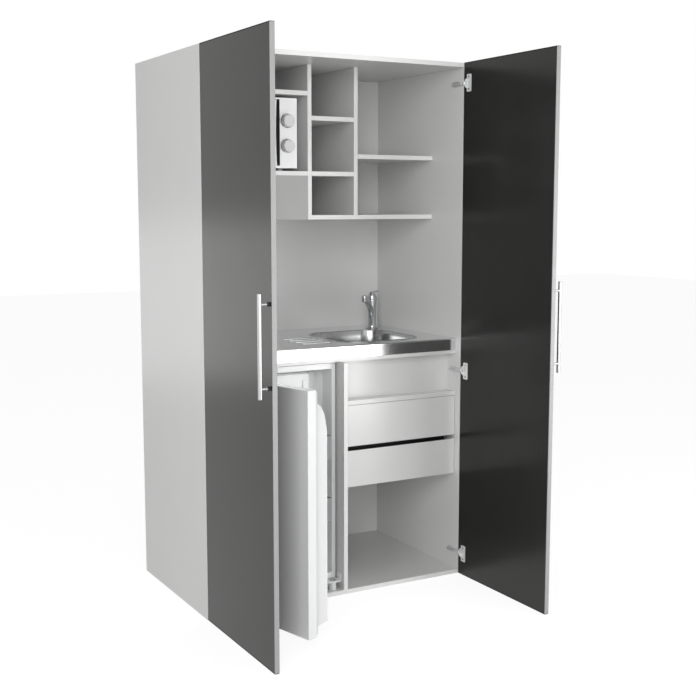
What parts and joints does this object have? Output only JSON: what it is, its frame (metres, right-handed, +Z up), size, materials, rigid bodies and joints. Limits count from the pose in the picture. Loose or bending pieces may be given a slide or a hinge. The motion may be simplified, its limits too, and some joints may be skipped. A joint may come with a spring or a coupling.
{
  "type": "kitchenette unit with sink and hob",
  "caption": "Tall two-door cupboard kitchenette: steel worktop with sink, mixer tap and hob, under-counter refrigerator, drawers, and a wall unit with shelves and a microwave oven.",
  "frame": {"origin": "on the floor, under the middle of the cabinet's footprint, without its open doors", "axes": "+Z up; +Y from the open front to the closed back; +X from the refrigerator's side to the sink's side, so the front faces -Y"},
  "size_m": [1.118, 1.1335, 1.904],
  "materials": {
    "white_board": "satin",
    "anthracite_gloss": "gloss",
    "satin_steel": "satin",
    "hinge_steel": "satin",
    "worktop_steel": "satin",
    "chrome": "polished",
    "cast_iron": "matte",
    "white_housing": "gloss",
    "white_moulding": "satin",
    "grey_steel": "satin",
    "clear_glass": "polished",
    "black_plastic": "satin"
  },
  "bodies": {
    "cabinet": {"side_panel_left": "white_board", "side_panel_right": "white_board", "top_panel": "white_board", "bottom_panel": "white_board", "back_panel": "white_board", "base_divider": "white_board", "wall_unit_board": "white_board", "wall_divider_left": "white_board", "wall_divider_right": "white_board", "shelf_over_microwave": "white_board", "shelf_under_microwave": "white_board", "shelf_middle_upper": "white_board", "shelf_middle_lower": "white_board", "shelf_right": "white_board", "blank_panel": "white_board", "sink_fascia": "white_board", "worktop": "worktop_steel", "sink_bowl": "worktop_steel", "sink_waste": "chrome", "tap_body": "chrome", "hotplate_front": "cast_iron", "hotplate_rear": "cast_iron", "fridge_cabinet": "white_housing", "fridge_base": "grey_steel", "fridge_shelf_upper": "clear_glass", "fridge_shelf_lower": "clear_glass", "freezer_box": "white_moulding", "microwave_casing": "white_housing", "left_hinge_arm_lower": "hinge_steel", "left_hinge_arm_middle": "hinge_steel", "left_hinge_arm_upper": "hinge_steel", "right_hinge_arm_lower": "hinge_steel", "right_hinge_arm_middle": "hinge_steel", "right_hinge_arm_upper": "hinge_steel"},
    "left_door": {"left_door_panel": "anthracite_gloss", "left_door_handle": "satin_steel", "left_hinge_cup_lower": "hinge_steel", "left_hinge_cup_middle": "hinge_steel", "left_hinge_cup_upper": "hinge_steel"},
    "right_door": {"right_door_panel": "anthracite_gloss", "right_door_handle": "satin_steel", "right_hinge_cup_lower": "hinge_steel", "right_hinge_cup_middle": "hinge_steel", "right_hinge_cup_upper": "hinge_steel"},
    "fridge_door": {"fridge_door_shell": "white_housing", "fridge_door_liner": "white_moulding", "fridge_door_gasket": "white_moulding"},
    "freezer_flap": {"freezer_flap": "white_moulding"},
    "drawer_upper": {"drawer_upper_front": "white_board", "drawer_upper_box": "white_board"},
    "drawer_lower": {"drawer_lower_front": "white_board", "drawer_lower_box": "white_board"},
    "microwave_door": {"microwave_door": "white_moulding"},
    "microwave_timer": {"microwave_knob_timer": "white_moulding"},
    "microwave_power": {"microwave_knob_power": "white_moulding"},
    "microwave_turntable": {"microwave_turntable": "clear_glass"},
    "tap_cap": {"tap_cap": "chrome"},
    "tap_lever": {"tap_lever": "chrome"},
    "hob_knob_front": {"hob_knob_front": "black_plastic"},
    "hob_knob_rear": {"hob_knob_rear": "black_plastic"}
  },
  "joints": [
    {"name": "left_door_hinge", "type": "hinge", "parent": "cabinet", "child": "left_door", "pos_m": [-0.512, -0.317, 0.952], "axis": [0, 0, -1], "range_deg": [-90, 10]},
    {"name": "right_door_hinge", "type": "hinge", "parent": "cabinet", "child": "right_door", "pos_m": [0.512, -0.317, 0.952], "axis": [0, 0, 1], "range_deg": [-90, 10]},
    {"name": "fridge_door_hinge", "type": "hinge", "parent": "cabinet", "child": "fridge_door", "pos_m": [-0.478, -0.287, 0.45], "axis": [0, 0, -1], "range_deg": [-75, 8.34]},
    {"name": "freezer_flap_hinge", "type": "hinge", "parent": "cabinet", "child": "freezer_flap", "pos_m": [-0.255, -0.1793, 0.7937], "axis": [-1, 0, 0], "range_deg": [0, 85]},
    {"name": "drawer_upper_slide", "type": "slide", "parent": "cabinet", "child": "drawer_upper", "axis": [0, -1, 0], "range_m": [0, 0.33]},
    {"name": "drawer_lower_slide", "type": "slide", "parent": "cabinet", "child": "drawer_lower", "axis": [0, -1, 0], "range_m": [0, 0.33]},
    {"name": "microwave_door_hinge", "type": "hinge", "parent": "cabinet", "child": "microwave_door", "pos_m": [-0.491, -0.081, 1.649], "axis": [0, 0, -1], "range_deg": [0, 90]},
    {"name": "microwave_timer_turn", "type": "hinge", "parent": "cabinet", "child": "microwave_timer", "pos_m": [-0.1015, -0.0913, 1.69], "axis": [0, 1, 0], "range_deg": [0, 300]},
    {"name": "microwave_power_turn", "type": "hinge", "parent": "cabinet", "child": "microwave_power", "pos_m": [-0.1015, -0.0913, 1.602], "axis": [0, 1, 0], "range_deg": [0, 210]},
    {"name": "turntable_turn", "type": "hinge", "parent": "cabinet", "child": "microwave_turntable", "pos_m": [-0.318, 0.0692, 1.5483], "axis": [0, 0, 1], "continuous": true},
    {"name": "tap_cap_turn", "type": "hinge", "parent": "cabinet", "child": "tap_cap", "pos_m": [0.402, 0.167, 1.028], "axis": [0, 0, 1], "range_deg": [-50, 50]},
    {"name": "tap_lever_lift", "type": "hinge", "parent": "tap_cap", "child": "tap_lever", "pos_m": [0.402, 0.167, 1.028], "axis": [0.6691, -0.7431, 0], "range_deg": [0, 25]},
    {"name": "hob_front_turn", "type": "hinge", "parent": "cabinet", "child": "hob_knob_front", "pos_m": [-0.42, -0.2763, 0.8775], "axis": [0, 1, 0], "range_deg": [0, 300]},
    {"name": "hob_rear_turn", "type": "hinge", "parent": "cabinet", "child": "hob_knob_rear", "pos_m": [-0.35, -0.2763, 0.8775], "axis": [0, 1, 0], "range_deg": [0, 300]}
  ],
  "couplings": [
    {"joint": "fridge_door_hinge", "follows": "left_door_hinge", "ratio": 0.83333}
  ]
}
